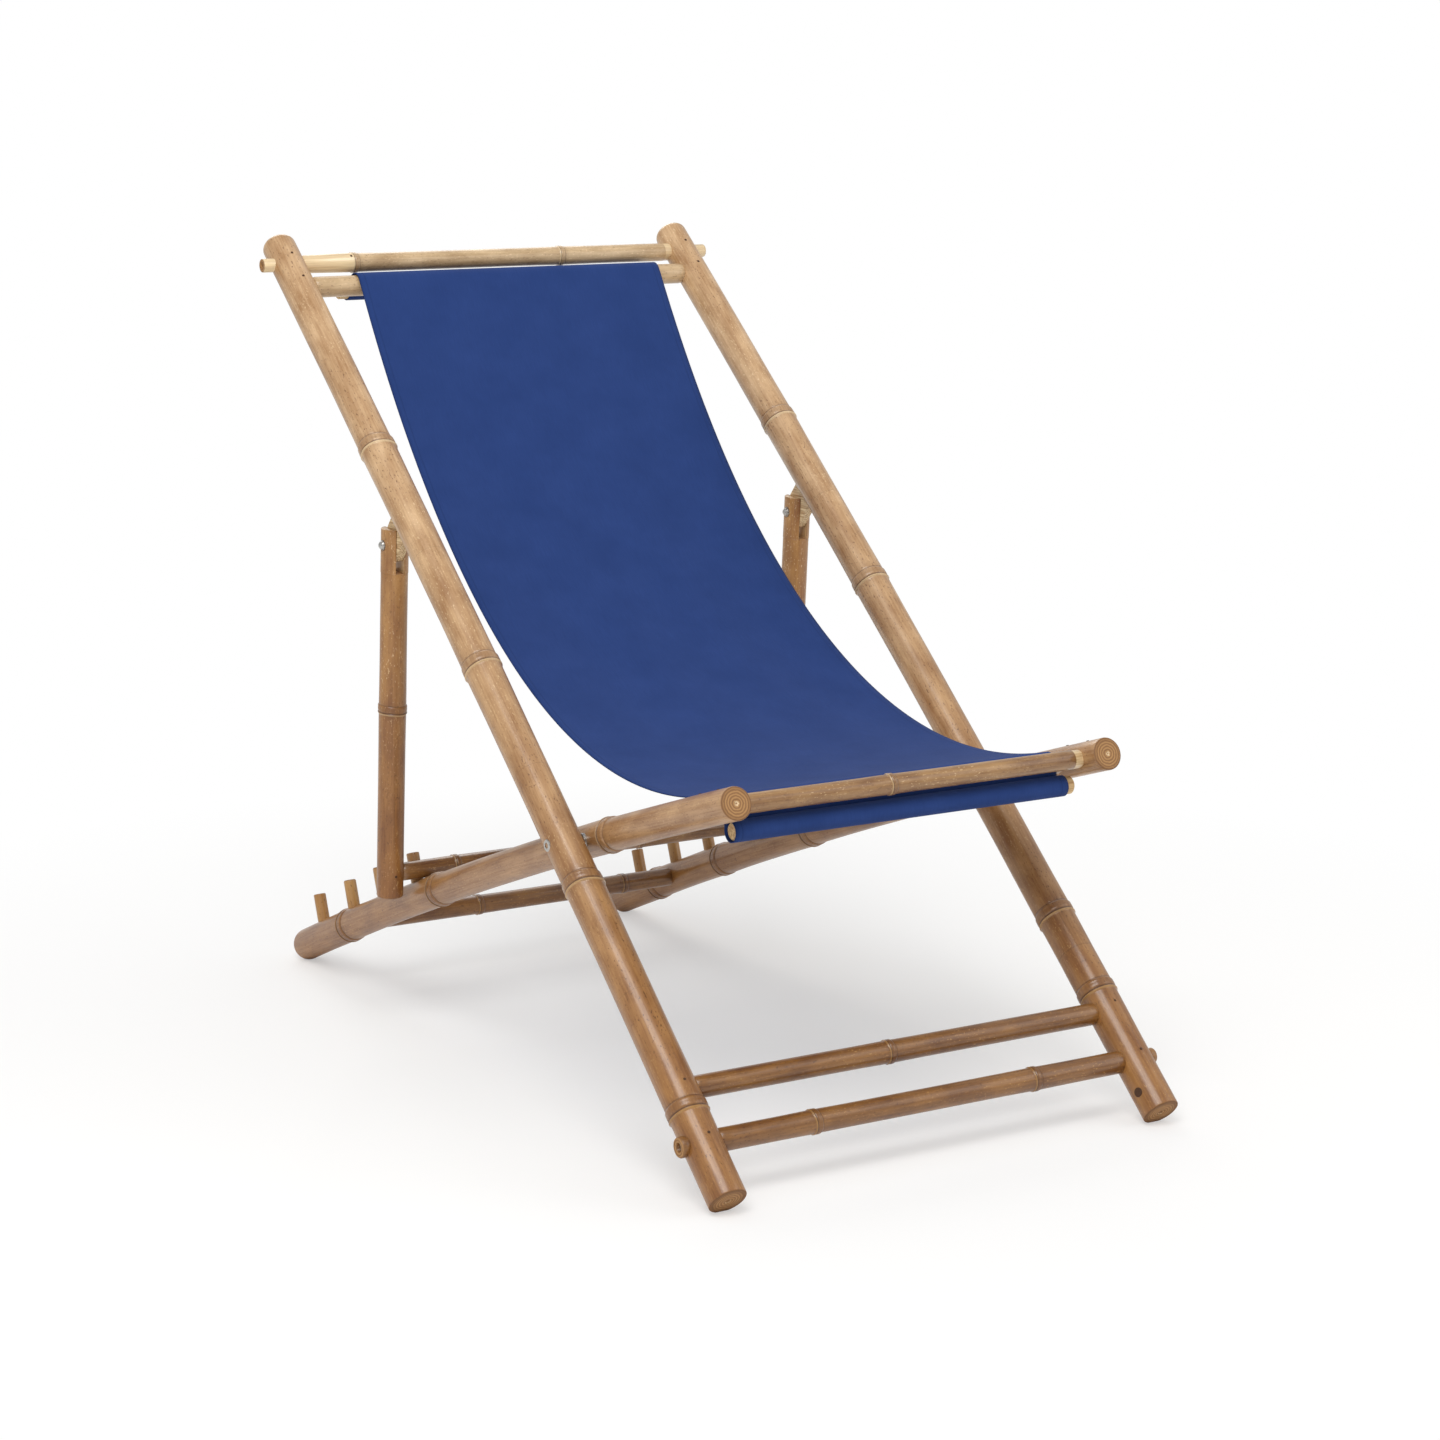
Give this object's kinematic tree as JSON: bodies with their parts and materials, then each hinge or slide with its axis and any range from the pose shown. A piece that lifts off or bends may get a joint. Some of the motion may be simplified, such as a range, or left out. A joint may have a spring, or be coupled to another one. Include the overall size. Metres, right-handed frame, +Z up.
{
  "type": "folding recliner",
  "caption": "Folding recliner of bamboo poles: two frames cross at bolts, a hinged prop stands on pegs, and a canvas sling hangs between bars.",
  "frame": {"origin": "on the floor, under the middle of the chair's bounding box", "axes": "+Z up, -Y towards the front of the chair, +X to the right as seen from the front"},
  "size_m": [0.5978, 1.0925, 0.8966],
  "materials": {
    "bamboo_pole": "honey-coloured bamboo skin with a thin clear coat, pale ridges and dark lines at the nodes",
    "bamboo_bar": "slightly browner bamboo, glossier, pale where the shoulders are cut back",
    "bamboo_peg": "round bamboo pegs, satin",
    "bamboo_plate": "pale split bamboo, sanded flat",
    "dowel_wood": "plain pale dowel, raw",
    "steel": "zinc-plated steel fittings",
    "canvas": "plain-woven blue cotton canvas"
  },
  "bodies": {
    "seat_frame": {"front_bar": "bamboo_bar", "front_hem_dowel": "dowel_wood", "front_sling_bar": "bamboo_bar", "peg_left_1": "bamboo_peg", "peg_left_2": "bamboo_peg", "peg_left_3": "bamboo_peg", "peg_left_4": "bamboo_peg", "peg_right_1": "bamboo_peg", "peg_right_2": "bamboo_peg", "peg_right_3": "bamboo_peg", "peg_right_4": "bamboo_peg", "rear_bar": "bamboo_bar", "seat_frame_pins": "steel", "seat_rail_left": "bamboo_pole", "seat_rail_right": "bamboo_pole"},
    "back_frame": {"back_frame_pins": "steel", "cross_bolts": "steel", "cross_nuts": "steel", "cross_washers": "steel", "long_rail_left": "bamboo_pole", "long_rail_right": "bamboo_pole", "lower_stretcher": "bamboo_bar", "prop_tongue_left": "bamboo_plate", "prop_tongue_right": "bamboo_plate", "sling": "canvas", "top_bar": "bamboo_bar", "top_hem_dowel": "dowel_wood", "top_sling_bar": "bamboo_bar", "upper_stretcher": "bamboo_bar"},
    "prop_frame": {"prop_bar": "bamboo_bar", "prop_bolts": "steel", "prop_frame_pins": "steel", "prop_left": "bamboo_bar", "prop_nuts": "steel", "prop_right": "bamboo_bar", "prop_washers": "steel"}
  },
  "joints": [
    {"name": "main_fold", "type": "hinge", "parent": "seat_frame", "child": "back_frame", "pos_m": [0, -0.2094, 0.30305], "axis": [1, 0, 0], "range_deg": [0, 110], "deforming": ["sling"]},
    {"name": "prop_pivot", "type": "hinge", "parent": "back_frame", "child": "prop_frame", "pos_m": [0, 0.17888, 0.56618], "axis": [1, 0, 0], "range_deg": [-53.7, 0]}
  ],
  "couplings": [
    {"joint": "prop_pivot", "follows": "main_fold", "ratio": -0.4873}
  ]
}
